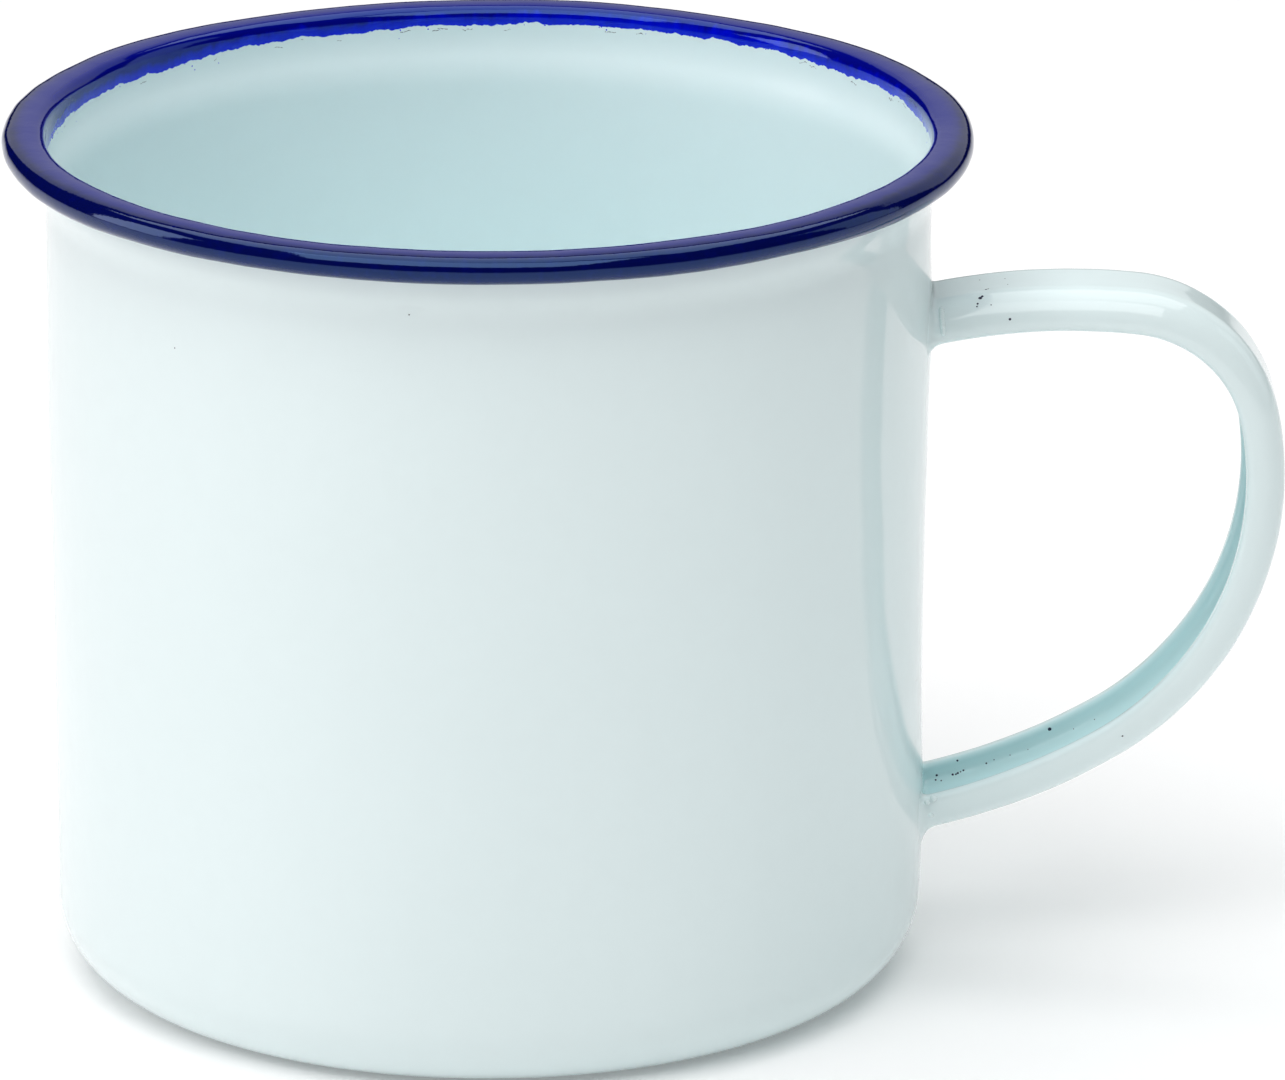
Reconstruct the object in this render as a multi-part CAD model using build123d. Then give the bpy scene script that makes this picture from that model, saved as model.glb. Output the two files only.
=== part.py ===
from build123d import *

import os
from math import asin, cos, degrees, radians, sin

# Enamelled steel mug: a deep-drawn steel cup with a rolled rim and a welded channel-section handle,
# covered in vitreous enamel. White all over, with a blue band fused over the rolled rim.
#
# Millimetres. The origin is on the cup's axis in the plane that the mug stands on, with +Z up and +X towards
# the handle.
#
# Two outlines drive everything, and both are walked as straight runs and tangent arcs:
# - the cup wall, from the middle of the base out to the foot, up the wall and round the rolled rim;
# - the handle loop, from the upper joint out, down and back in to the lower joint.

# Thicknesses, counted outwards from the steel's inner face
STEEL = 0.6
GROUND_COAT = 0.1
COVER_COAT = 0.15
COATS = GROUND_COAT + COVER_COAT
INSIDE_SURFACE = -COATS
OUTSIDE_SURFACE = STEEL + COATS

# Cup, over the enamel
CUP_HEIGHT = 78.9
RIM_RADIUS = 43.7
WALL_RADIUS_TOP = 40.0
WALL_RADIUS_BASE = 39.5
BASE_CORNER_RADIUS = 6.5

# Neck and rolled rim
NECK_START_HEIGHT = 71.5
NECK_FLARE = 0.9
NECK_CURVE_RADIUS = 8.0
RIM_INNER_CORNER_RADIUS = 0.8
RIM_OUTER_CURL_RADIUS = 1.0
RIM_CROWN_HALF_TURN = 8.0
CURL_TIP_GAP = 0.05
BLUE_BAND_DEPTH = 2.2

# Base: a shallow domed panel inside a flat foot ring
DOME_RADIUS = 320.0
DOME_TURN = 4.5
STEP_RADIUS = 3.0
STEP_TURN = 20.0

# Handle strap: a channel, open towards the cup, pressed from thicker strip
STRAP_WIDTH = 10.1
STRAP_DEPTH = 3.0
STRAP_THICKNESS = 0.9
STRAP_CORNER_RADIUS = 2.6
HANDLE_GROUND_COAT = 0.1
HANDLE_COATS = 0.3

# Handle loop, along the middle of the steel's outer face, between the straight roots that meet the cup
LOOP_START = (41.18, 63.13)
LOOP_START_HEADING = 11.1
LOOP_ARCS = [  # radius, turn in degrees
    (60.0, 16.9),
    (14.1, 71.6),
    (30.8, 72.4),
    (59.4, 16.6),
]
ROOT_LENGTH = 5.0

# Joints between the handle and the cup
WELD_THICKNESS = 0.25
COLLAR_SPREAD = 1.2
COLLAR_THICKNESS = 0.6


def heading_vector(heading):
    return Vector(cos(radians(heading)), sin(radians(heading)))


class Walk:
    """A pen that draws straight runs and tangent arcs, offset to the right of the outline it follows."""

    def __init__(self, start, heading, offset=0.0):
        self.heading = heading
        self.offset = offset
        self.point = Vector(*start) + heading_vector(heading - 90) * offset
        self.edges = []

    def line(self, length):
        end = self.point + heading_vector(self.heading) * length
        self.edges.append(Line(self.point, end))
        self.point = end

    def arc(self, radius, turn):
        """A positive turn bends to the left. The radius is the outline's own, before the offset."""
        own_radius = radius + self.offset if turn > 0 else radius - self.offset
        edge = JernArc(self.point, heading_vector(self.heading), own_radius, turn)
        self.edges.append(edge)
        self.point = edge @ 1
        self.heading += turn


def wall_lean():
    """How far the wall leans outwards from the vertical, in degrees."""
    rise = NECK_START_HEIGHT - BASE_CORNER_RADIUS
    return degrees(asin((WALL_RADIUS_TOP - WALL_RADIUS_BASE) / rise))


def walk_panel(pen):
    pen.arc(DOME_RADIUS, -DOME_TURN)
    pen.arc(STEP_RADIUS, -STEP_TURN)
    pen.arc(STEP_RADIUS, DOME_TURN + STEP_TURN)


def walk_wall(offset, upto="tip"):
    """The cup wall's outline at a distance outside the steel's inner face, up to its neck or its tip."""
    trial = Walk((0, 0), 0)
    walk_panel(trial)
    foot_height = OUTSIDE_SURFACE
    pen = Walk((0, foot_height - trial.point.Y), 0, offset)
    walk_panel(pen)

    corner_radius = BASE_CORNER_RADIUS - OUTSIDE_SURFACE
    lean = wall_lean()
    corner_reach = corner_radius * cos(radians(lean))
    inner_radius_base = WALL_RADIUS_BASE - OUTSIDE_SURFACE
    pen.line(inner_radius_base - corner_reach - trial.point.X)
    pen.arc(corner_radius, 90 - lean)
    corner_top = foot_height + corner_radius * (1 - sin(radians(lean)))
    pen.line((NECK_START_HEIGHT - corner_top) / cos(radians(lean)))

    # The neck flares out in two opposite arcs and ends upright
    flare_turn = 2 * degrees(asin((NECK_FLARE / (4 * NECK_CURVE_RADIUS)) ** 0.5))
    pen.arc(NECK_CURVE_RADIUS, -flare_turn)
    pen.arc(NECK_CURVE_RADIUS, flare_turn + lean)
    neck_face = pen.point.X + OUTSIDE_SURFACE - offset
    if upto == "neck":
        return pen

    crown = RIM_CROWN_HALF_TURN
    round_share = 1 - sin(radians(crown))
    corner_width = (RIM_INNER_CORNER_RADIUS + COATS) * round_share
    curl_width = (RIM_OUTER_CURL_RADIUS + COATS) * round_share
    rim_width = RIM_RADIUS - (pen.point.X - offset + INSIDE_SURFACE)
    crown_radius = (rim_width - corner_width - curl_width) / (2 * sin(radians(crown))) - COATS
    crown_rise = (crown_radius + COATS) * (1 - cos(radians(crown)))
    corner_rise = (RIM_INNER_CORNER_RADIUS + COATS) * cos(radians(crown))
    pen.line(CUP_HEIGHT - crown_rise - corner_rise - pen.point.Y)
    pen.arc(RIM_INNER_CORNER_RADIUS, crown - 90)
    pen.arc(crown_radius, -2 * crown)
    pen.arc(RIM_OUTER_CURL_RADIUS, crown - 180)
    pen.line(pen.point.X - neck_face - CURL_TIP_GAP)
    return pen


def revolved(edges):
    """The outline turned about the cup's axis, with the seam on the side away from the handle."""
    return Rot(0, 0, 180) * revolve(Plane.XZ * make_face(edges), Axis.Z)


def wall_layer(inner_offset, outer_offset, upto="tip"):
    """The closed solid between two parallel outlines of the wall."""
    inner = walk_wall(inner_offset, upto)
    outer = walk_wall(outer_offset, upto)
    caps = [
        Line(inner.edges[0] @ 0, outer.edges[0] @ 0),
        Line(inner.point, outer.point),
    ]
    return revolved(Curve() + inner.edges + outer.edges + caps)


def wall_filled(offset):
    """Everything inside one outline of the wall, up to the top of the neck."""
    pen = walk_wall(offset, "neck")
    top = (0, pen.point.Y)
    lid = [Line(pen.point, top), Line(top, pen.edges[0] @ 0)]
    return revolved(Curve() + pen.edges + lid)


def channel_section():
    """The strap's steel section: across is X, outwards from the loop is Y, outer face on Y = 0."""
    outer = RectangleRounded(STRAP_WIDTH, 2 * STRAP_DEPTH, STRAP_CORNER_RADIUS)
    inner = RectangleRounded(
        STRAP_WIDTH - 2 * STRAP_THICKNESS,
        2 * (STRAP_DEPTH - STRAP_THICKNESS),
        STRAP_CORNER_RADIUS - STRAP_THICKNESS,
    )
    keep = Pos(0, STRAP_DEPTH / 2) * Rectangle(2 * STRAP_WIDTH, STRAP_DEPTH)
    return Pos(0, -STRAP_DEPTH) * ((outer - inner) & keep)


def coated_section(thickness, corners=Kind.ARC):
    """The strap's section grown on every side by a coat."""
    return offset(channel_section(), amount=thickness, kind=corners)


def section_plane(pen):
    direction = heading_vector(pen.heading)
    origin = (pen.point.X, 0, pen.point.Y)
    return Plane(origin=origin, x_dir=(0, 1, 0), z_dir=(direction.X, 0, direction.Y))


def handle_loop(section):
    """A section carried round the loop's arcs."""
    pen = Walk(LOOP_START, LOOP_START_HEADING)
    arcs = []
    for radius, turn in LOOP_ARCS:
        centre = pen.point + heading_vector(pen.heading - 90) * radius
        pivot = Axis((centre.X, 0, centre.Y), (0, 1, 0))
        arcs.append(revolve(section_plane(pen) * section, pivot, turn))
        pen.arc(radius, -turn)
    return arcs


def handle_roots(section):
    """The straight ends of the handle, which run on into the cup's wall: upper, then lower."""
    start = Walk(LOOP_START, LOOP_START_HEADING)
    upper = extrude(section_plane(start) * section, -ROOT_LENGTH)
    end = Walk(LOOP_START, LOOP_START_HEADING)
    for radius, turn in LOOP_ARCS:
        end.arc(radius, -turn)
    lower = extrude(section_plane(end) * section, ROOT_LENGTH)
    return [upper, lower]


def whole_handle(section, cup):
    """The loop and its two roots, cut off where they meet the cup."""
    upper, lower = [root - cup for root in handle_roots(section)]
    solid = upper
    for arc in handle_loop(section):
        solid += arc
    return solid + lower


def with_handle_holes(layer, section):
    for root in handle_roots(section):
        layer -= root
    return layer


def build():
    nodes = {}
    bare = channel_section()
    grounded = coated_section(HANDLE_GROUND_COAT, Kind.INTERSECTION)
    covered = coated_section(HANDLE_COATS)
    collar = coated_section(HANDLE_COATS + COLLAR_SPREAD)

    nodes["cup_shell"] = wall_layer(0, STEEL)
    nodes["handle_strap"] = whole_handle(bare, wall_filled(STEEL + WELD_THICKNESS))
    weld_gap = wall_layer(STEEL, STEEL + WELD_THICKNESS, "neck")
    weld_names = ["upper_weld_seam", "lower_weld_seam"]
    for name, root in zip(weld_names, handle_roots(bare)):
        nodes[name] = root & weld_gap

    nodes["ground_coat_inside"] = wall_layer(-GROUND_COAT, 0)
    ground_outside = wall_layer(STEEL, STEEL + GROUND_COAT, "neck")
    nodes["ground_coat_outside"] = with_handle_holes(ground_outside, grounded)
    nodes["ground_coat_handle"] = whole_handle(grounded - bare, wall_filled(STEEL))

    # White covers the inside up to the blue band, which takes the rest, round the rolled rim to its tip
    inside_cover = wall_layer(INSIDE_SURFACE, -GROUND_COAT)
    white_top = CUP_HEIGHT - BLUE_BAND_DEPTH
    white_zone = Pos(0, 0, white_top / 2) * Cylinder(WALL_RADIUS_TOP + NECK_FLARE / 2, white_top)
    nodes["white_enamel_inside"] = inside_cover & white_zone
    nodes["blue_rim_enamel"] = inside_cover - white_zone
    cover_outside = wall_layer(STEEL + GROUND_COAT, OUTSIDE_SURFACE, "neck")
    nodes["white_enamel_outside"] = with_handle_holes(cover_outside, covered)
    nodes["white_enamel_handle"] = whole_handle(covered - grounded, wall_filled(STEEL + GROUND_COAT))

    pool = wall_layer(OUTSIDE_SURFACE, OUTSIDE_SURFACE + COLLAR_THICKNESS, "neck")
    collar_names = ["upper_joint_enamel", "lower_joint_enamel"]
    for name, ring, core in zip(collar_names, handle_roots(collar), handle_roots(covered)):
        nodes[name] = (ring - core) & pool
    return nodes


if __name__ == "__main__":
    os.makedirs("parts", exist_ok=True)
    for name, shape in build().items():
        export_step(shape, f"parts/{name}.step")
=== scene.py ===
import random
from math import asin, atan2, cos, degrees, hypot, pi, radians, sin, tau

import bmesh
import bpy
import numpy as np
from mathutils import Matrix, Vector, noise


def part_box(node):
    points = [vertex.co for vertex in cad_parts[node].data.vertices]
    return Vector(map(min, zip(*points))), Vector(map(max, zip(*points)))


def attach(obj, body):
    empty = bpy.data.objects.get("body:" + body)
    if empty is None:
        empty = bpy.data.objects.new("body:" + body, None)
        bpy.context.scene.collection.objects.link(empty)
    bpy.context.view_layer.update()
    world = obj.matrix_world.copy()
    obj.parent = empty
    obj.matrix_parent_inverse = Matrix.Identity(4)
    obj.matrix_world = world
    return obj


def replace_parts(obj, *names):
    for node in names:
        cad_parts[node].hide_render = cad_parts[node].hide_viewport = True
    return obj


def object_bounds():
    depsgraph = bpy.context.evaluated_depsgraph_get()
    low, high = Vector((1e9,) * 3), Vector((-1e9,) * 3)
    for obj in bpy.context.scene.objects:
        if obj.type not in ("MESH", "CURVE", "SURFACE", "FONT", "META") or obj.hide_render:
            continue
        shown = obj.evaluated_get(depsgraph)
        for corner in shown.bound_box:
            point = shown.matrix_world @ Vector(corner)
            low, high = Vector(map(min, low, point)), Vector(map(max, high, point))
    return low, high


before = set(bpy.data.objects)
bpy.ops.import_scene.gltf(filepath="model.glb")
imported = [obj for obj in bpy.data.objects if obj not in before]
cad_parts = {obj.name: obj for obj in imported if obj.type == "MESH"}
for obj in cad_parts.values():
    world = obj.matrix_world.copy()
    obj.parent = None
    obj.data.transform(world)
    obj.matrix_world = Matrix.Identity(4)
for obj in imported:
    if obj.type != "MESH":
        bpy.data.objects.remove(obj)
cad_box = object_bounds()

# Looks of an enamelled steel mug: white enamel over the cup and its channel-section handle, and cobalt blue
# enamel over the rolled rim. Metres. The cup's axis is the Z axis and +X points to the handle.

MM = 0.001

# Main sizes, from the frame
rim_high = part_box("blue_rim_enamel")[1]
strap_low, strap_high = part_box("white_enamel_handle")
RIM_RADIUS = rim_high.y
CUP_HEIGHT = rim_high.z
STRAP_WIDTH = strap_high.y - strap_low.y

# Cup outline at the steel's inner face, with surfaces counted outwards from it
INSIDE = -0.25 * MM
OUTSIDE = 0.85 * MM
COVER_COAT = 0.15 * MM
WALL_RADIUS_TOP = RIM_RADIUS - 3.7 * MM
WALL_RADIUS_BASE = WALL_RADIUS_TOP - 0.5 * MM
NECK_START = CUP_HEIGHT - 7.4 * MM
NECK_FLARE = 0.9 * MM
NECK_CURVE = 8.0 * MM
BASE_CORNER = 6.5 * MM
DOME_RADIUS = 320 * MM
DOME_TURN = 4.5
STEP_RADIUS = 3.0 * MM
STEP_TURN = 20.0
RIM_INNER_CORNER = 0.8 * MM
RIM_OUTER_CURL = 1.0 * MM
CROWN_HALF_TURN = 8.0
CURL_TIP_GAP = 0.05 * MM

# Handle: the loop of its outer face, and its channel section, open towards the cup
LOOP_HEADING = 11.1
LOOP_ARCS = [(60.3 * MM, 16.9), (14.4 * MM, 71.6), (31.1 * MM, 72.4), (59.7 * MM, 16.6)]
STRAP_DEPTH = 3.6 * MM
STRAP_CORNER = 2.9 * MM
STRAP_THICKNESS = 1.5 * MM
STRAP_LIP = 0.55 * MM
HANDLE_COAT = 0.2 * MM

# Halvings that find a place along a path to well under a micrometre
HALVINGS = 30


def clamp(value):
    return min(1.0, max(0.0, value))


class Track:
    """A path of straight runs and tangent arcs in a plane, read by the distance along it."""

    def __init__(self, start, heading):
        self.pieces = []
        self.marks = [0.0]
        self.end = (start[0], start[1], radians(heading))

    def add(self, length, bend):
        self.pieces.append((*self.end, bend))
        self.marks.append(self.marks[-1] + length)
        self.end = self.follow(self.pieces[-1], length)

    def line(self, length):
        self.add(length, 0.0)

    def arc(self, radius, turn):
        """A positive turn, in degrees, bends to the left."""
        self.add(radius * abs(radians(turn)), 1 / radius if turn > 0 else -1 / radius)

    def follow(self, piece, along):
        x, y, heading, bend = piece
        if bend == 0:
            return x + along * cos(heading), y + along * sin(heading), heading
        turned = heading + bend * along
        return x + (sin(turned) - sin(heading)) / bend, y - (cos(turned) - cos(heading)) / bend, turned

    def at(self, along):
        """x, y and heading at a distance. Past either end the path runs straight on."""
        if along < 0:
            x, y, heading, _ = self.pieces[0]
            return x + along * cos(heading), y + along * sin(heading), heading
        if along >= self.marks[-1]:
            return self.follow((*self.end, 0.0), along - self.marks[-1])
        index = max(i for i, mark in enumerate(self.marks[:-1]) if mark <= along)
        return self.follow(self.pieces[index], along - self.marks[index])

    def beside(self, along, offset):
        """The point at an offset to the right of the path, and the direction that the offset takes."""
        x, y, heading = self.at(along)
        right = (sin(heading), -cos(heading))
        return (x + right[0] * offset, y + right[1] * offset), right

    def stations(self, counts, first=0):
        """Distances that split each piece, from the first one given, into so many steps."""
        found = [self.marks[first]]
        for i, count in enumerate(counts, first):
            start, end = self.marks[i], self.marks[i + 1]
            found += [start + (end - start) * (k + 1) / count for k in range(count)]
        return found


def base_track(lift):
    """The base from its middle out to the foot ring, starting at a height."""
    track = Track((0, lift), 0)
    track.arc(DOME_RADIUS, -DOME_TURN)
    track.arc(STEP_RADIUS, -STEP_TURN)
    track.arc(STEP_RADIUS, DOME_TURN + STEP_TURN)
    return track


def cup_track():
    """The cup wall from the middle of the base to the tip of the rolled rim, along the steel's inner face."""
    drop = base_track(0.0).end[1]
    track = base_track(OUTSIDE - drop)
    lean = asin((WALL_RADIUS_TOP - WALL_RADIUS_BASE) / (NECK_START - BASE_CORNER))
    corner = BASE_CORNER - OUTSIDE
    track.line(WALL_RADIUS_BASE - OUTSIDE - corner * cos(lean) - track.end[0])
    track.arc(corner, 90 - degrees(lean))
    track.line((NECK_START - track.end[1]) / cos(lean))
    flare = 2 * degrees(asin((NECK_FLARE / (4 * NECK_CURVE)) ** 0.5))
    track.arc(NECK_CURVE, -flare)
    track.arc(NECK_CURVE, flare + degrees(lean))
    neck_face = track.end[0] + OUTSIDE
    crown = radians(CROWN_HALF_TURN)
    share = 1 - sin(crown)
    rim_width = RIM_RADIUS - track.end[0] - INSIDE
    shoulders = (RIM_INNER_CORNER + RIM_OUTER_CURL - 2 * INSIDE) * share
    crown_radius = (rim_width - shoulders) / (2 * sin(crown)) + INSIDE
    crown_rise = (crown_radius - INSIDE) * (1 - cos(crown))
    corner_rise = (RIM_INNER_CORNER - INSIDE) * cos(crown)
    track.line(CUP_HEIGHT - crown_rise - corner_rise - track.end[1])
    track.arc(RIM_INNER_CORNER, CROWN_HALF_TURN - 90)
    track.arc(crown_radius, -2 * CROWN_HALF_TURN)
    track.arc(RIM_OUTER_CURL, CROWN_HALF_TURN - 180)
    track.line(track.end[0] - neck_face - CURL_TIP_GAP)
    return track


CUP = cup_track()

# Steps along the outline's pieces: dome, two step bends and foot; corner, wall and two neck bends; lip
BASE_STEPS = [24, 5, 6, 5]
WALL_STEPS = [18, 84, 8, 8]
LIP_STEPS = [3]
WALL_PIECE, RIM_PIECE = 5, 9
RIM_START = CUP.marks[RIM_PIECE]


def wall_radius(height):
    """The outer enamel's mean radius on the straight wall."""
    share = (height - BASE_CORNER) / (NECK_START - BASE_CORNER)
    return WALL_RADIUS_BASE + (WALL_RADIUS_TOP - WALL_RADIUS_BASE) * share


LOOP_SAMPLES = 2000


def loop_track(start):
    track = Track(start, LOOP_HEADING)
    for radius, turn in LOOP_ARCS:
        track.arc(radius, -turn)
    return track


def handle_track():
    """The middle of the handle's outer face, from the upper joint round to the lower one, in X and Z."""
    walked = loop_track((0, 0))
    seen = [walked.at(walked.marks[-1] * i / LOOP_SAMPLES) for i in range(LOOP_SAMPLES + 1)]
    shift_x = strap_high.x - max(place[0] for place in seen)
    shift_z = strap_high.z - max(place[1] for place in seen)
    return loop_track((shift_x, shift_z))


HANDLE = handle_track()
UPPER_JOINT = HANDLE.at(0)[1] - STRAP_DEPTH / 2
LOWER_JOINT = HANDLE.at(HANDLE.marks[-1])[1] + STRAP_DEPTH / 2


# Small irregularities of hand-dipped, fired enamel

# Dents and swellings in the wall: angle from the handle, height, half width, half height, depth (out is plus)
WALL_MARKS = [
    (0.0, UPPER_JOINT - 0.5 * MM, 8.0 * MM, 5.0 * MM, 0.22 * MM),
    (0.0, LOWER_JOINT - 0.5 * MM, 8.0 * MM, 5.5 * MM, 0.25 * MM),
    (-98.0, CUP_HEIGHT - 7.5 * MM, 2.5 * MM, 3.5 * MM, -0.05 * MM),
    (-92.0, CUP_HEIGHT - 9.0 * MM, 1.6 * MM, 2.6 * MM, 0.04 * MM),
    (-14.0, UPPER_JOINT + 2.0 * MM, 4.0 * MM, 9.0 * MM, -0.10 * MM),
]


def waves(place, size, height):
    return height * noise.noise(place / size)


def wall_rise(place):
    """How far the cup's outer enamel stands off its mean surface."""
    rise = waves(place, 21 * MM, 0.16 * MM) + waves(place, 7 * MM, 0.035 * MM)
    rise += waves(place, 2.6 * MM, 0.007 * MM)
    angle = degrees(atan2(place.y, place.x))
    for at_angle, height, half_width, half_height, depth in WALL_MARKS:
        across = radians((angle - at_angle + 180) % 360 - 180) * WALL_RADIUS_TOP / half_width
        up = (place.z - height) / half_height
        rise += depth * np.exp(-across * across - up * up)
    return rise


def inside_rise(place):
    return waves(place + Vector((0.3, 0, 0)), 17 * MM, 0.10 * MM) + waves(place, 6 * MM, 0.025 * MM)


def rim_rise(place):
    return waves(place, 15 * MM, 0.14 * MM) + waves(place, 3.4 * MM, 0.03 * MM)


# Meshes from grids of points

def finish_piece(name, mesh):
    """The mesh as an object, its faces turned outwards and smooth, riding on the one body."""
    tidy = bmesh.new()
    tidy.from_mesh(mesh)
    bmesh.ops.recalc_face_normals(tidy, faces=tidy.faces)
    tidy.to_mesh(mesh)
    tidy.free()
    mesh.shade_smooth()
    piece = bpy.data.objects.new(name, mesh)
    bpy.context.scene.collection.objects.link(piece)
    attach(piece, "root")
    return piece


def point_values(piece, name, values):
    """Gives each point of a piece a number, which its material reads by name."""
    attribute = piece.data.attributes.new(name, "FLOAT", "POINT")
    attribute.data.foreach_set("value", np.ravel(values).astype(np.float32))


def grid_faces(rows, columns, loop_rows, first=0):
    """Quads between the rows of a grid whose columns close up into rings."""
    faces = []
    for i in range(rows if loop_rows else rows - 1):
        here, above = first + i * columns, first + (i + 1) % rows * columns
        for j in range(columns):
            k = (j + 1) % columns
            faces.append((here + j, here + k, above + k, above + j))
    return faces


def ring_mesh(name, grid, loop_rows=False):
    """A mesh from an array of rows, ring points and coordinates. A grid that isn't a loop gets a pole at
    each end, at the mean of its last ring."""
    rows, columns = grid.shape[:2]
    points = [tuple(p) for p in grid.reshape(-1, 3)]
    faces = grid_faces(rows, columns, loop_rows)
    if not loop_rows:
        for row in (0, rows - 1):
            points.append(tuple(grid[row].mean(axis=0)))
            pole, first = len(points) - 1, row * columns
            faces += [(first + j, first + (j + 1) % columns, pole) for j in range(columns)]
    mesh = bpy.data.meshes.new(name)
    mesh.from_pydata(points, [], faces)
    mesh.update()
    return mesh


CUP_SEGMENTS = 360
FOOT_CLEAR = 0.4 * MM
FOOT_FADE = 4 * MM
# The side of a coat that nobody sees has this many times fewer rings
HIDDEN_SAVING = 4


def cup_ring(along, offset, rise):
    """The points round the cup at one station of its outline, each moved out by its own rise."""
    (radius, height), (out, up) = CUP.beside(along, offset)
    ring = np.empty((CUP_SEGMENTS, 3))
    for j in range(CUP_SEGMENTS):
        angle = tau * j / CUP_SEGMENTS
        place = Vector((radius * cos(angle), radius * sin(angle), height))
        extra = rise(place) if rise else 0.0
        far = radius + out * extra
        ring[j] = (far * cos(angle), far * sin(angle), height + up * extra)
    return ring


def fade_at_foot(rise):
    """The same rise, but none where the mug stands on its foot ring."""
    def faded(place):
        return rise(place) * clamp((place.z - FOOT_CLEAR) / FOOT_FADE)
    return faded


def cup_skin(name, surface, hidden, rise, steps, white):
    """One coat of white enamel over the whole cup, from the middle of the base up under the rim."""
    shown = CUP.stations(steps)[1:]
    backed = CUP.stations([max(1, count // HIDDEN_SAVING) for count in steps])[1:]
    rings = [cup_ring(along, surface, rise) for along in shown]
    rings += [cup_ring(along, hidden, None) for along in reversed(backed)]
    piece = finish_piece(name, ring_mesh(name, np.array(rings)))
    piece.data.materials.append(white)
    return piece


RIM_SEGMENTS = 1440

# The blue stands proud of the white. It swells up from its edge, and the edge itself is tucked into the white
BLUE_PROUD = 0.045 * MM
BLUE_SWELL = 0.35 * MM
BLUE_SWELL_POWER = 0.6
BLUE_TUCK = 0.012 * MM
# Before the rolled rim starts, the proud step and the lining's own ripple give way to the rim's
PROUD_FADE = 1.2 * MM
RIPPLE_FADE = 0.6 * MM

# The blue's edge: mean depth below the brim, its tilt and the side where it is highest, and its ripples
BLUE_DEPTH = 2.5 * MM
BLUE_TILT = 0.85 * MM
BLUE_HIGH_SIDE = radians(60)
BLUE_RIPPLES = [(14 * MM, 0.4 * MM), (2.4 * MM, 0.26 * MM), (0.8 * MM, 0.18 * MM), (0.3 * MM, 0.14 * MM)]

# The blue comes up to half its thickness over its flank. It comes up to the rest over a reach of the curl
# that starts past the beginning of the rim
BLUE_FLANK = 1.5 * MM
BLUE_CURL_START = 1.5 * MM
BLUE_CURL_REACH = 1.8 * MM


def blue_edge_height(angle):
    """Where the blue enamel ends inside the cup: the ragged edge lies higher on one side."""
    spot = Vector((cos(angle), sin(angle), 0.0)) * WALL_RADIUS_TOP
    ragged = sum(waves(spot, size, height) for size, height in BLUE_RIPPLES)
    return CUP_HEIGHT - BLUE_DEPTH + BLUE_TILT * cos(angle - BLUE_HIGH_SIDE) + ragged


def station_at_height(height):
    """The distance along the cup's outline where the neck's inside reaches a height."""
    low, high = CUP.marks[WALL_PIECE], RIM_START
    for _ in range(HALVINGS):
        middle = (low + high) / 2
        if CUP.beside(middle, INSIDE)[0][1] < height:
            low = middle
        else:
            high = middle
    return low


def blue_thickness(along, edge):
    """How thick the blue lies, from 0 at its ragged edge to 1 over the outside of the curl."""
    flank = clamp((along - edge) / BLUE_FLANK)
    curl = clamp((along - RIM_START - BLUE_CURL_START) / BLUE_CURL_REACH)
    return 0.5 * flank + 0.5 * curl * curl * (3 - 2 * curl)


def rim_skin(blue):
    """Blue enamel over the rolled rim, from its ragged edge inside the cup round to the tip of the curl."""
    spread = [0.0, 0.04, 0.1, 0.18, 0.3, 0.45, 0.62, 0.8, 1.0]
    over = CUP.stations([9, 6, 20, 2], RIM_PIECE)[1:]
    back = CUP.stations([4, 3, 9, 1], RIM_PIECE)[::-1]
    columns = []
    thickness = []
    for j in range(RIM_SEGMENTS):
        angle = tau * j / RIM_SEGMENTS
        edge = station_at_height(blue_edge_height(angle))
        stations = [edge + (RIM_START - edge) * share for share in spread] + over
        column = []
        for i, along in enumerate(stations):
            proud = BLUE_PROUD * clamp((along - edge) / BLUE_SWELL) ** BLUE_SWELL_POWER
            if i == 0:
                proud -= BLUE_TUCK
            fade = clamp((RIM_START - along) / PROUD_FADE + 1)
            (radius, height), (out, up) = CUP.beside(along, INSIDE)
            place = Vector((radius * cos(angle), radius * sin(angle), height))
            inside_share = clamp((RIM_START - along) / RIPPLE_FADE + 1)
            rise = inside_rise(place) * inside_share + rim_rise(place) * (1 - inside_share)
            # The cup's own offsets run outwards through the wall, so the inside's rise is minus
            extra = -(rise + proud * fade)
            far = radius + out * extra
            column.append((far * cos(angle), far * sin(angle), height + up * extra))
        for along in back + [edge]:
            (radius, height), _ = CUP.beside(along, INSIDE + COVER_COAT)
            column.append((radius * cos(angle), radius * sin(angle), height))
        columns.append(column)
        thickness.append([blue_thickness(along, edge) for along in stations] + [0.5] * (len(back) + 1))
    grid = np.array(columns).transpose(1, 0, 2)
    piece = finish_piece("rim_blue_enamel", ring_mesh("rim_blue_enamel", grid, True))
    piece.data.materials.append(blue)
    point_values(piece, "thickness", np.array(thickness).T)
    return piece


# Handle

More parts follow.
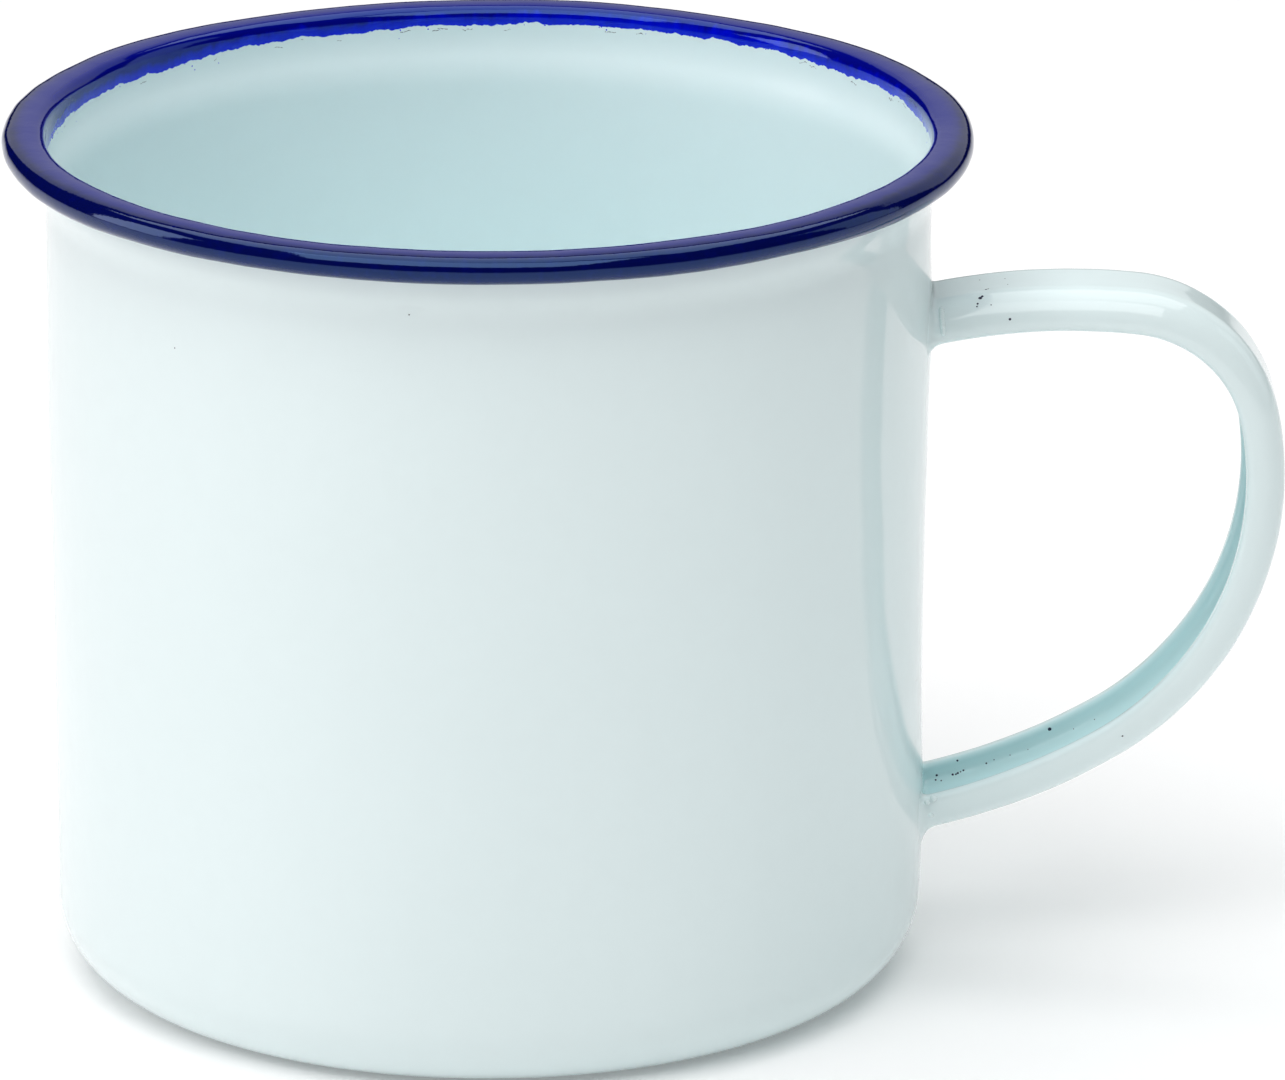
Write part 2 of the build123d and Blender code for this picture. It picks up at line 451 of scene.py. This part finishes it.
def strap_section(inset=0.0):
    """The strap's closed outline: how far across, how far out, and the outward normal, at each point.
    The outer face is at 0. An inset draws the same outline that far inside."""
    half = STRAP_WIDTH / 2
    inner_corner = STRAP_CORNER - STRAP_THICKNESS
    flat = half - STRAP_CORNER
    outer_side = STRAP_DEPTH - STRAP_CORNER - STRAP_LIP
    lip_flat = STRAP_THICKNESS - 2 * STRAP_LIP
    inner_side = STRAP_DEPTH - STRAP_LIP - STRAP_THICKNESS - inner_corner
    moves = [
        (flat, 0, 9),
        (STRAP_CORNER, -90, 12),
        (outer_side, 0, 2),
        (STRAP_LIP, -90, 6),
        (lip_flat, 0, 2),
        (STRAP_LIP, -90, 6),
        (inner_side, 0, 2),
        (inner_corner, 90, 7),
        (flat, 0, 6),
    ]
    track = Track((0, 0), 0)
    for size, turn, _ in moves + moves[::-1]:
        if turn:
            track.arc(size, turn)
        else:
            track.line(size)
    outline = []
    for along in track.stations([steps for *_, steps in moves + moves[::-1]])[:-1]:
        (across, out), (nx, ny) = track.beside(along, inset)
        outline.append((across, out, -nx, -ny))
    return outline


SECTION = strap_section()
CORE = strap_section(HANDLE_COAT)


def strap_place(along, point):
    """A point of the section at a distance along the handle, and its outward normal."""
    x, z, heading = HANDLE.at(along)
    across, out, n_across, n_out = point
    place = Vector((x - sin(heading) * out, across, z + cos(heading) * out))
    normal = Vector((-sin(heading) * n_out, n_across, cos(heading) * n_out))
    return place, normal


def wall_gap(place):
    """How far a point is outside the cup's outer enamel, with its dents and swellings."""
    return hypot(place.x, place.y) - wall_radius(place.z) - wall_rise(place)


def meeting_station(point, low, high):
    """The distance along the handle where a point of the section meets the cup's wall."""
    inside_first = wall_gap(strap_place(low, point)[0]) < 0
    for _ in range(HALVINGS):
        middle = (low + high) / 2
        if (wall_gap(strap_place(middle, point)[0]) < 0) == inside_first:
            low = middle
        else:
            high = middle
    return (low + high) / 2


# How far the enamel runs out at each joint, on the wall and along the strap: at the strap's outer face, its
# flanks, its lips and inside the channel
UPPER_FILLETS = [(0.5, 0.6), (0.9, 0.9), (1.4, 1.4), (0.7, 0.7)]
LOWER_FILLETS = [(2.1, 1.5), (1.2, 1.0), (0.7, 0.8), (0.7, 0.7)]
# Depths from the strap's outer face: where its lips start, over what reach they come to count in full, and
# where the channel's own faces begin
LIP_START = 2.6 * MM
LIP_REACH = 0.8 * MM
CHANNEL_FROM = 1.0 * MM
# How far past the channel's sides a point still counts as inside it, for the fillets and for the painted
# shade in the channel
FILLET_SLACK = 0.2 * MM
CHANNEL_SHADE_SLACK = 0.3 * MM
LIP_LIMIT = 0.3


def fillet_legs(fillets):
    """How far the enamel runs out on the wall and along the strap, at each point of the section."""
    legs = []
    reach = STRAP_WIDTH / 2 - STRAP_THICKNESS + FILLET_SLACK
    for across, out, _, n_out in SECTION:
        lip = clamp((-out - LIP_START) / LIP_REACH)
        inside = abs(across) < reach and out < -CHANNEL_FROM and lip < LIP_LIMIT
        face = max(0.0, n_out) ** 2 if not inside else 0.0
        shares = [face, max(0.0, 1 - face - lip), lip, 0.0]
        if inside:
            shares = [0.0, 0.0, 0.0, 1.0]
        legs.append([sum(s * f[k] for s, f in zip(shares, fillets)) * MM for k in range(2)])
    legs = np.array(legs)
    for _ in range(4):
        legs = (np.roll(legs, 1, 0) + 2 * legs + np.roll(legs, -1, 0)) / 4
    return legs


def onto_wall(place, gap):
    """The point moved along the cup's radius to a distance off the wall."""
    radius = hypot(place.x, place.y)
    aim = radius - wall_gap(place) + gap
    return Vector((place.x * aim / radius, place.y * aim / radius, place.z))


BEND_ROWS = 9
BURIED = 0.45 * MM
FOOT_SINK = 0.015 * MM
# The fillets' uneven width: its share, and how fast it changes round the section and along the handle
WOBBLE = 0.2
WOBBLE_ROUND = 0.13
WOBBLE_ALONG = 40


def joint_rows(fillets, low, high, outward):
    """The rows of the enamel that runs out onto the wall, from the wall to the strap, and where each point of
    the section leaves the strap. outward is 1 where the strap leaves the cup and -1 where it comes back."""
    legs = fillet_legs(fillets)
    rows = [[] for _ in range(BEND_ROWS + 2)]
    leaving = []
    for j, point in enumerate(SECTION):
        meet = meeting_station(point, low, high)
        wobble = 1 + WOBBLE * noise.noise(Vector((j * WOBBLE_ROUND, meet * WOBBLE_ALONG, 0.7)))
        on_wall, on_strap = legs[j][0] * wobble, legs[j][1]
        corner, normal = strap_place(meet, point)
        radial = Vector((corner.x, corner.y, 0)).normalized()
        along_wall = (normal - radial * normal.dot(radial)).normalized()
        foot = onto_wall(corner + along_wall * on_wall, -FOOT_SINK)
        leave = meet + outward * on_strap
        start = strap_place(leave, point)[0]
        rows[0].append(onto_wall(foot, -BURIED))
        for i in range(BEND_ROWS + 1):
            t = i / (BEND_ROWS + 1)
            rows[1 + i].append(foot * (1 - t) ** 2 + corner * 2 * t * (1 - t) + start * t * t)
        leaving.append(leave)
    return rows, leaving


def strap_row(stations, section, rise=None):
    """The points of the section, each at its own distance along the handle."""
    row = []
    for along, point in zip(stations, section):
        place, normal = strap_place(along, point)
        row.append(place + normal * (rise(place) if rise else 0.0))
    return row


def channel_share():
    """1 at the section's points inside the channel and 0 outside it, with a soft step at its lips: the mask
    for the shade painted into the channel.
    """
    reach = STRAP_WIDTH / 2 - STRAP_THICKNESS + CHANNEL_SHADE_SLACK
    share = np.array([float(abs(across) < reach and out < -CHANNEL_FROM) for across, out, *_ in SECTION])
    for _ in range(2):
        share = (np.roll(share, 1) + 2 * share + np.roll(share, -1)) / 4
    return share


def handle_rise(place):
    return waves(place, 9 * MM, 0.07 * MM) + waves(place, 3 * MM, 0.025 * MM)


STRAP_STEPS = 210
CORE_STEPS = 40
JOINT_SEARCH = 5 * MM
JOINT_MARGIN = 0.6 * MM
RISE_EASE = 4 * MM
CORE_ROOT = 2.2 * MM


def handle_skin(white):
    """White enamel over the strap, running out onto the cup at both joints, with a hidden inner face."""
    end = HANDLE.marks[-1]
    upper, leave_upper = joint_rows(UPPER_FILLETS, -JOINT_SEARCH, JOINT_SEARCH, 1)
    lower, leave_lower = joint_rows(LOWER_FILLETS, end - JOINT_SEARCH, end + JOINT_SEARCH, -1)
    start, stop = max(leave_upper) + JOINT_MARGIN, min(leave_lower) - JOINT_MARGIN
    rows = list(upper)
    for share in (0.0, 0.5):
        rows.append(strap_row([a + (start - a) * share for a in leave_upper], SECTION))
    for i in range(STRAP_STEPS + 1):
        along = start + (stop - start) * i / STRAP_STEPS
        ease = min(1.0, min(along - start, stop - along) / RISE_EASE)
        rows.append(strap_row([along] * len(SECTION), SECTION, lambda place: ease * handle_rise(place)))
    for share in (0.5, 1.0):
        rows.append(strap_row([stop + (a - stop) * share for a in leave_lower], SECTION))
    rows += lower[::-1]
    root_upper = min(leave_upper) - CORE_ROOT
    root_lower = max(leave_lower) + CORE_ROOT
    for i in range(CORE_STEPS + 1):
        along = root_lower + (root_upper - root_lower) * i / CORE_STEPS
        rows.append(strap_row([along] * len(CORE), CORE))
    grid = np.array([[tuple(p) for p in row] for row in rows])
    piece = finish_piece("handle_white_enamel", ring_mesh("handle_white_enamel", grid, True))
    piece.data.materials.append(white)
    # Each point gets its share of the channel, which paints shade into the channel's colour
    point_values(piece, "channel_shade", np.tile(channel_share(), len(rows)))
    return piece


# Specks, pits and spatter

# A lens's rings, from its top to its sunk bottom: share of its radius and of its height
LENS_RINGS = [(0.0, 1.0), (0.55, 0.8), (0.9, 0.35), (1.0, 0.0), (0.6, -0.8), (0.0, -1.0)]
LENS_SIDES = 10
LENS_UNEVEN = 0.25
LENS_NOISE = 3000


def dome(points, faces, place, normal, size, height):
    """Adds a small lens, half sunk in the surface at a place."""
    turn = normal.to_track_quat("Z", "Y").to_matrix()
    starts = []
    for share, lift in LENS_RINGS:
        starts.append(len(points))
        for k in range(LENS_SIDES if share else 1):
            angle = tau * k / LENS_SIDES
            round_it = Vector((cos(angle), sin(angle), 0))
            uneven = 1 + LENS_UNEVEN * noise.noise(place * LENS_NOISE + round_it)
            points.append(place + turn @ (round_it * share * size * uneven + Vector((0, 0, lift * height))))
    for a in range(len(LENS_RINGS) - 1):
        here, below = starts[a], starts[a + 1]
        for k in range(LENS_SIDES):
            m = (k + 1) % LENS_SIDES
            if LENS_RINGS[a][0] == 0:
                faces.append((here, below + k, below + m))
            elif LENS_RINGS[a + 1][0] == 0:
                faces.append((here + k, below, here + m))
            else:
                faces.append((here + k, below + k, below + m, here + m))


def dome_piece(name, spots, material):
    """One piece of many small lenses: each spot has its place, normal, size and height."""
    points, faces = [], []
    for spot in spots:
        dome(points, faces, *spot)
    mesh = bpy.data.meshes.new(name)
    mesh.from_pydata([tuple(p) for p in points], [], faces)
    mesh.update()
    piece = finish_piece(name, mesh)
    piece.data.materials.append(material)
    return piece


def face_point(across):
    """The point and normal of the section at a distance across its outer face, on round its corners."""
    flat = STRAP_WIDTH / 2 - STRAP_CORNER
    turn = max(0.0, abs(across) - flat) / STRAP_CORNER
    side = -1 if across < 0 else 1
    far = min(abs(across), flat) + STRAP_CORNER * sin(turn)
    return side * far, STRAP_CORNER * (cos(turn) - 1), side * sin(turn), cos(turn)


CHANNEL_FLAT = STRAP_WIDTH / 2 - STRAP_CORNER
CHANNEL_CORNER = STRAP_CORNER - STRAP_THICKNESS
# Where the channel's far side begins, in millimetres round the inside of the section from its middle
CHANNEL_FAR = (CHANNEL_FLAT + CHANNEL_CORNER * pi / 2) / MM


def channel_point(across):
    """The point and normal inside the channel, at a distance along its bottom and on up its far side."""
    turn = min(max(0.0, (across - CHANNEL_FLAT) / CHANNEL_CORNER), pi / 2)
    climb = max(0.0, across - CHANNEL_FAR * MM)
    deep = STRAP_THICKNESS + CHANNEL_CORNER * (1 - cos(turn)) + climb
    return min(across, CHANNEL_FLAT) + CHANNEL_CORNER * sin(turn), -deep, -sin(turn), -cos(turn)


SPECK_HEIGHT = 0.02 * MM


def strap_spot(along_mm, across_mm, size_mm, where):
    """A spot on the strap's outer face, or inside its channel."""
    point = face_point(across_mm * MM) if where == "face" else channel_point(across_mm * MM)
    place, normal = strap_place(along_mm * MM, point)
    return place + normal * handle_rise(place), normal, size_mm * MM, SPECK_HEIGHT


# Dark pinholes in the handle's enamel: distance along it, distance across it, radius, and where
PINHOLES = [
    (3.2, -3.8, 0.18, "face"),
    (3.4, -3.6, 0.13, "face"),
    (3.8, -2.3, 0.12, "face"),
    (4.0, -2.2, 0.09, "face"),
    (2.9, -4.4, 0.10, "face"),
    (2.8, -4.7, 0.08, "face"),
    (3.3, 1.0, 0.07, "face"),
    (5.6, 0.6, 0.06, "face"),
    (5.8, -1.4, 0.05, "face"),
    (4.1, -4.7, 0.06, "face"),
    (5.7, -6.2, 0.12, "face"),
    (72.4, -6.2, 0.09, "face"),
    (79.5, CHANNEL_FAR + 0.15, 0.17, "channel"),
    (89.0, CHANNEL_FAR + 0.35, 0.10, "channel"),
    (91.5, CHANNEL_FAR - 0.9, 0.09, "channel"),
    (91.3, CHANNEL_FAR - 0.5, 0.11, "channel"),
    (91.0, CHANNEL_FAR - 1.1, 0.07, "channel"),
    (89.8, CHANNEL_FAR - 0.8, 0.12, "channel"),
    (89.5, CHANNEL_FAR - 0.85, 0.10, "channel"),
    (89.3, CHANNEL_FAR - 0.8, 0.12, "channel"),
    (89.0, CHANNEL_FAR - 0.75, 0.08, "channel"),
    (88.7, CHANNEL_FAR - 0.7, 0.11, "channel"),
    (86.4, CHANNEL_FAR - 0.7, 0.10, "channel"),
    (85.6, CHANNEL_FAR - 0.6, 0.06, "channel"),
    (84.0, CHANNEL_FAR - 0.7, 0.06, "channel"),
    (82.2, CHANNEL_FAR - 0.8, 0.05, "channel"),
    (77.4, CHANNEL_FAR - 0.8, 0.06, "channel"),
    (75.2, CHANNEL_FAR - 0.9, 0.06, "channel"),
]

# Beads of weld spatter under the enamel at the lower joint: distance back along the handle from where its
# outer face ends, distance across, distance in from the outer face, radius
SPATTER = [
    (0.3, -4.9, 2.6, 0.38),
    (0.7, -4.6, 2.9, 0.30),
    (1.1, -5.0, 3.1, 0.36),
    (0.1, -5.6, 3.3, 0.30),
    (0.8, -5.5, 3.5, 0.34),
    (0.2, -6.1, 2.2, 0.26),
    (0.0, -4.3, 2.1, 0.24),
]


def spatter_spot(back_mm, across_mm, deep_mm, size_mm):
    """A round bead at a place in the strap's section, facing back out of the joint."""
    point = (across_mm * MM, -deep_mm * MM, -1.0, 0.0)
    place, normal = strap_place(HANDLE.marks[-1] - back_mm * MM, point)
    return place, normal, size_mm * MM, 0.8 * size_mm * MM


# The weld's ripple: its beads, their size and lift, where the first one is (distances along and across the
# strap) and the step to the next
RIDGE_BEADS = 12
RIDGE_SIZE = 0.26 * MM
RIDGE_LIFT = 0.1 * MM
RIDGE_START = (-0.4 * MM, -4.4 * MM)
RIDGE_STEP = (-0.02 * MM, -0.2 * MM)


def weld_ridge():
    """Overlapping beads that make the ripple across the strap's near corner at the upper joint."""
    beads = []
    for k in range(RIDGE_BEADS):
        along, across = (start + step * k for start, step in zip(RIDGE_START, RIDGE_STEP))
        place, normal = strap_place(along, face_point(across))
        beads.append((place + normal * RIDGE_LIFT, normal, RIDGE_SIZE, RIDGE_SIZE))
    return beads


def lining_spot(angle, height):
    """The point and normal on the lining at an angle round the cup and a height."""
    (radius, height), (out, up) = CUP.beside(station_at_height(height), INSIDE)
    place = Vector((radius * cos(angle), radius * sin(angle), height))
    normal = -Vector((out * cos(angle), out * sin(angle), up))
    return place + normal * inside_rise(place), normal


def blue_spot(chance):
    """A fleck of blue just below the ragged edge."""
    angle = chance.uniform(0, tau)
    height = blue_edge_height(angle) - abs(chance.gauss(0.1, 0.35)) * MM
    return *lining_spot(angle, height), chance.uniform(0.03, 0.08) * MM, SPECK_HEIGHT


DASH_SPACING = 0.09 * MM
DASH_HEIGHT = 0.01 * MM


def edge_dash(chance):
    """A row of tiny dark specks, a dash, just below the ragged edge."""
    angle = chance.uniform(0, tau)
    drop = chance.uniform(0.3, 0.55) * MM
    spots = []
    for k in range(chance.randint(3, 12)):
        turn = angle + DASH_SPACING * k / WALL_RADIUS_TOP
        spot = lining_spot(turn, blue_edge_height(turn) - drop)
        spots.append((*spot, chance.uniform(0.02, 0.05) * MM, DASH_HEIGHT))
    return spots


# Materials

class Surface:
    """A material's nodes, with short calls that add and link them."""

    def __init__(self, name, constants):
        self.material = bpy.data.materials.new(name)
        self.material.use_nodes = True
        self.nodes = self.material.node_tree.nodes
        self.links = self.material.node_tree.links
        self.shader = self.nodes["Principled BSDF"]
        for socket, value in constants.items():
            self.shader.inputs[socket].default_value = value
        self.place = self.nodes.new("ShaderNodeTexCoord").outputs["Object"]

    def link(self, source, socket):
        self.links.new(source, self.shader.inputs[socket])

    def noise(self, size, detail=2.0, stretch=None):
        """Noise whose features are about this size."""
        source = self.place
        if stretch:
            mapping = self.nodes.new("ShaderNodeMapping")
            mapping.inputs["Scale"].default_value = stretch
            self.links.new(source, mapping.inputs["Vector"])
            source = mapping.outputs["Vector"]
        node = self.nodes.new("ShaderNodeTexNoise")
        node.inputs["Scale"].default_value = 1 / size
        node.inputs["Detail"].default_value = detail
        self.links.new(source, node.inputs["Vector"])
        return node.outputs["Fac"]

    def attribute(self, name):
        """The number that point_values gave the mesh, or 0 where it gave none."""
        node = self.nodes.new("ShaderNodeAttribute")
        node.attribute_name = name
        return node.outputs["Fac"]

    def ramp(self, source, stops):
        """A colour ramp; each stop is a position and a grey or a colour."""
        node = self.nodes.new("ShaderNodeValToRGB")
        elements = node.color_ramp.elements
        while len(elements) < len(stops):
            elements.new(0.5)
        for element, (position, colour) in zip(elements, stops):
            element.position = position
            grey = isinstance(colour, (int, float))
            element.color = (colour, colour, colour, 1) if grey else (*colour, 1)
        self.links.new(source, node.inputs["Fac"])
        return node.outputs["Color"]

    def mix(self, share, first, second):
        """Two colours mixed; each is a socket or a plain colour."""
        node = self.nodes.new("ShaderNodeMix")
        node.data_type = "RGBA"
        self.links.new(share, node.inputs["Factor"])
        for value, socket in ((first, node.inputs[6]), (second, node.inputs[7])):
            if isinstance(value, tuple):
                socket.default_value = (*value, 1)
            else:
                self.links.new(value, socket)
        return node.outputs[2]

    def math(self, operation, first, second=None, third=None):
        node = self.nodes.new("ShaderNodeMath")
        node.operation = operation
        for value, socket in zip((first, second, third), node.inputs):
            if isinstance(value, (int, float)):
                socket.default_value = value
            elif value is not None:
                self.links.new(value, socket)
        return node.outputs[0]

    def specks(self, size, radius, share):
        """1 in small round specks, about one to each cell of this size, in that share of the cells."""
        node = self.nodes.new("ShaderNodeTexVoronoi")
        node.inputs["Scale"].default_value = 1 / size
        self.links.new(self.place, node.inputs["Vector"])
        parts = self.nodes.new("ShaderNodeSeparateColor")
        self.links.new(node.outputs["Color"], parts.inputs["Color"])
        near = self.math("LESS_THAN", node.outputs["Distance"], radius / size)
        chosen = self.math("LESS_THAN", parts.outputs["Red"], share)
        return self.math("MULTIPLY", near, chosen)

    def bump(self, source, height, below=None):
        node = self.nodes.new("ShaderNodeBump")
        node.inputs["Distance"].default_value = height
        node.inputs["Strength"].default_value = 1.0
        self.links.new(source, node.inputs["Height"])
        if below:
            self.links.new(below, node.inputs["Normal"])
        return node.outputs["Normal"]


# Painted shade: a darker, more cyan white for the inside of the handle's channel, where less light reaches
CHANNEL_SHADE_WHITE = (0.60, 0.82, 0.84)
SPECK_GREY = (0.16, 0.18, 0.22)


def white_enamel(name, brightest, roughness, shine=0.5):
    """Glossy white glass with a faint blue-green cast, slightly uneven, with an orange-peel ripple."""
    surface = Surface(name, {"IOR": 1.5, "Specular IOR Level": shine})
    duller = tuple(0.99 * c for c in brightest)
    cast = surface.ramp(surface.noise(16 * MM, 3), [(0.3, duller), (0.7, brightest)])
    mottle = surface.ramp(surface.noise(2.2 * MM, 4), [(0.35, duller), (0.6, brightest)])
    even = surface.mix(surface.noise(30 * MM), cast, mottle)
    # The channel inside the handle is painted a darker, more cyan white: painted shade
    channel_shaded_white = surface.mix(surface.attribute("channel_shade"), even, CHANNEL_SHADE_WHITE)
    specks = surface.specks(5.5 * MM, 0.09 * MM, 0.10)
    surface.link(surface.mix(specks, channel_shaded_white, SPECK_GREY), "Base Color")
    polish = surface.ramp(surface.noise(6 * MM, 3), [(0.3, roughness[0]), (0.75, roughness[1])])
    surface.link(polish, "Roughness")
    peel = surface.bump(surface.noise(1.3 * MM, 2), 0.006 * MM)
    surface.link(surface.bump(surface.noise(0.35 * MM, 2), 0.0012 * MM, peel), "Normal")
    return surface.material


def blue_enamel():
    """Cobalt glass: nearly black where it is thick over the curl, bright where it lies thinly inside the cup.
    """
    surface = Surface("blue_enamel", {"IOR": 1.65, "Specular Tint": (0.30, 0.55, 1.0, 1.0)})
    patchy = surface.math("MULTIPLY_ADD", surface.noise(0.9 * MM, 4), 0.24, -0.12)
    thick = surface.math("ADD", surface.attribute("thickness"), patchy)
    stops = [
        (0.02, (0.0, 0.004, 0.80)),
        (0.22, (0.0, 0.003, 0.55)),
        (0.36, (0.001, 0.002, 0.21)),
        (0.55, (0.001, 0.003, 0.21)),
        (0.80, (0.001, 0.003, 0.17)),
        (1.0, (0.001, 0.003, 0.07)),
    ]
    surface.link(surface.ramp(thick, stops), "Base Color")
    surface.link(surface.ramp(surface.noise(4 * MM, 3), [(0.3, 0.04), (0.75, 0.09)]), "Roughness")
    surface.link(surface.bump(surface.noise(0.9 * MM, 4), 0.014 * MM), "Normal")
    return surface.material


def iron_speck():
    """Dark pinhole in the enamel, where the ground coat shows."""
    surface = Surface("iron_speck", {"IOR": 1.5})
    stops = [(0.3, (0.002, 0.004, 0.03)), (0.7, (0.01, 0.014, 0.06))]
    surface.link(surface.ramp(surface.noise(0.2 * MM), stops), "Base Color")
    surface.link(surface.ramp(surface.noise(0.1 * MM), [(0.3, 0.25), (0.7, 0.5)]), "Roughness")
    return surface.material


def ground_coat():
    """Dark blue-grey glass under the white."""
    surface = Surface("ground_coat", {"IOR": 1.5})
    stops = [(0.3, (0.02, 0.025, 0.04)), (0.7, (0.06, 0.07, 0.09))]
    surface.link(surface.ramp(surface.noise(1.5 * MM, 4), stops), "Base Color")
    surface.link(surface.ramp(surface.noise(0.8 * MM, 3), [(0.3, 0.3), (0.7, 0.5)]), "Roughness")
    return surface.material


def bare_steel(name, tint):
    """Drawn steel, brushed round the cup."""
    surface = Surface(name, {"Metallic": 1.0})
    lines = surface.noise(0.4 * MM, 3, (0.1, 0.1, 1.0))
    surface.link(surface.ramp(lines, [(0.3, tuple(0.8 * c for c in tint)), (0.7, tint)]), "Base Color")
    surface.link(surface.ramp(lines, [(0.3, 0.3), (0.7, 0.45)]), "Roughness")
    return surface.material


# Build

DASHES = 45
FLECKS = 50


def lining_rise(place):
    """The inside's rise, counted outwards through the wall as the cup's own offsets are."""
    return -inside_rise(place)


def build_pieces():
    """The enamel skins and their small marks, which take the place of the CAD's coats of glass."""
    white = white_enamel("white_enamel", (0.805, 0.925, 0.932), (0.03, 0.08))
    # Painted light: the lining is a lighter, more cyan copy of the white enamel, which brightens the inside
    # of the cup
    lining_white_painted_light = white_enamel("white_enamel_lining_painted_light", (0.830, 0.972, 0.985), (0.16, 0.24), 0.12)
    blue = blue_enamel()
    wall_foot = fade_at_foot(wall_rise)
    steps = BASE_STEPS + WALL_STEPS
    outside = cup_skin("cup_outside_enamel", OUTSIDE, OUTSIDE - COVER_COAT, wall_foot, steps, white)
    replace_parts(outside, "white_enamel_outside")
    steps = BASE_STEPS + WALL_STEPS + LIP_STEPS
    lining = cup_skin("cup_inside_enamel", INSIDE, INSIDE + COVER_COAT, lining_rise, steps, lining_white_painted_light)
    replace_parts(lining, "white_enamel_inside")
    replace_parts(rim_skin(blue), "blue_rim_enamel")
    handle = handle_skin(white)
    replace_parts(handle, "white_enamel_handle", "upper_joint_enamel", "lower_joint_enamel")
    speck = iron_speck()
    dome_piece("handle_pinholes", [strap_spot(*hole) for hole in PINHOLES], speck)
    beads = [spatter_spot(*bead) for bead in SPATTER] + weld_ridge()
    dome_piece("joint_spatter", beads, white)
    chance = random.Random(7)
    dashes = [spot for _ in range(DASHES) for spot in edge_dash(chance)]
    dome_piece("rim_edge_dashes", dashes, speck)
    dome_piece("rim_blue_flecks", [blue_spot(chance) for _ in range(FLECKS)], blue)


def dress_frame():
    """Materials for the layers of the frame under the enamel."""
    steel = bare_steel("bare_steel", (0.55, 0.55, 0.56))
    weld = bare_steel("weld_metal", (0.42, 0.41, 0.42))
    dark = ground_coat()
    layers = {
        "cup_shell": steel,
        "handle_strap": steel,
        "upper_weld_seam": weld,
        "lower_weld_seam": weld,
        "ground_coat_inside": dark,
        "ground_coat_outside": dark,
        "ground_coat_handle": dark,
    }
    for name, material in layers.items():
        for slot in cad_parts[name].material_slots:
            slot.material = material


# Stage: floor, lights and camera

FLOOR_RINGS = [0.1, 0.3, 0.8, 1.6, 3.0, 6.0]
FLOOR_SIDES = 96
FLOOR_GLOW = 0.12


def build_floor():
    """A wide, pale, round floor that glows a little."""
    turns = [tau * k / FLOOR_SIDES for k in range(FLOOR_SIDES)]
    points = [(0.0, 0.0, 0.0)]
    points += [(radius * cos(turn), radius * sin(turn), 0.0) for radius in FLOOR_RINGS for turn in turns]
    faces = grid_faces(len(FLOOR_RINGS), FLOOR_SIDES, False, 1)
    faces += [(0, 1 + k, 1 + (k + 1) % FLOOR_SIDES) for k in range(FLOOR_SIDES)]
    mesh = bpy.data.meshes.new("floor")
    mesh.from_pydata(points, [], faces)
    floor = bpy.data.objects.new("floor", mesh)
    bpy.context.scene.collection.objects.link(floor)
    surface = Surface("pale_floor", {"Roughness": 0.9, "Specular IOR Level": 0.1})
    surface.link(surface.ramp(surface.noise(0.25, 2), [(0.3, 0.90), (0.7, 0.93)]), "Base Color")
    surface.shader.inputs["Emission Color"].default_value = (1, 1, 1, 1)
    surface.shader.inputs["Emission Strength"].default_value = FLOOR_GLOW
    mesh.materials.append(surface.material)


def soft_light(name, place, size, power, colour=(1, 1, 1), glossy=True):
    """A rectangular softbox facing the middle of the cup."""
    data = bpy.data.lights.new(name, "AREA")
    data.shape = "RECTANGLE"
    data.size, data.size_y = size
    data.energy = power
    data.color = colour
    light = bpy.data.objects.new(name, data)
    bpy.context.scene.collection.objects.link(light)
    light.location = place
    facing = Vector((0, 0, CUP_HEIGHT / 2)) - light.location
    light.rotation_euler = facing.to_track_quat("-Z", "Y").to_euler()
    light.visible_glossy = glossy


WARM = (1.0, 0.90, 0.90)
COOL = (0.85, 0.97, 1.0)


def build_lights():
    """Softboxes in front and overhead, strips at the sides, a glow behind, and a little light all round."""
    soft_light("front_top_softbox", (-0.15, -0.72, 1.24), (1.5, 0.95), 12.6)
    soft_light("overhead_softbox", (0.0, 0.28, 1.2), (1.5, 1.1), 10.1)
    soft_light("left_strip", (-1.25, 0.0, 0.5), (0.5, 0.9), 4.2, WARM)
    soft_light("right_strip", (1.25, 0.2, 0.5), (0.5, 0.9), 1.0, COOL)
    soft_light("back_glow", (0.35, 1.5, 0.77), (2.6, 1.04), 3.9)
    soft_light("left_fill", (-0.95, -0.9, 0.5), (0.9, 0.9), 1.7, WARM, glossy=False)
    world = bpy.data.worlds.new("studio")
    world.use_nodes = True
    background = world.node_tree.nodes["Background"]
    background.inputs["Color"].default_value = (0.93, 0.97, 1.0, 1)
    background.inputs["Strength"].default_value = 0.04
    world.cycles_visibility.glossy = False
    bpy.context.scene.world = world


# The camera: degrees up, round from the front and of roll; metres away; millimetres of lens
CAMERA_ELEVATION = 18.0
CAMERA_AZIMUTH = 0.06
CAMERA_DISTANCE = 0.961
CAMERA_ROLL = 0.2
CAMERA_LENS = 295.7
CAMERA_SENSOR = 36
CAMERA_SIDE_STEP = -0.25 * MM


def build_camera():
    """A long lens, aimed at the middle of the mug's box from a little above."""
    data = bpy.data.cameras.new("camera")
    data.lens = CAMERA_LENS
    data.sensor_width = CAMERA_SENSOR
    camera = bpy.data.objects.new("camera", data)
    bpy.context.scene.collection.objects.link(camera)
    aim = (Vector(cad_box[0]) + Vector(cad_box[1])) / 2 + Vector((CAMERA_SIDE_STEP, 0, 0))
    elevation, azimuth = radians(CAMERA_ELEVATION), radians(CAMERA_AZIMUTH)
    back = Vector((sin(azimuth) * cos(elevation), -cos(azimuth) * cos(elevation), sin(elevation)))
    turn = back.to_track_quat("Z", "Y").to_matrix() @ Matrix.Rotation(radians(CAMERA_ROLL), 3, "Z")
    camera.matrix_world = Matrix.Translation(aim + back * CAMERA_DISTANCE) @ turn.to_4x4()
    bpy.context.scene.camera = camera


build_pieces()
dress_frame()
build_floor()
build_lights()
build_camera()
bpy.context.scene.view_settings.view_transform = "Standard"
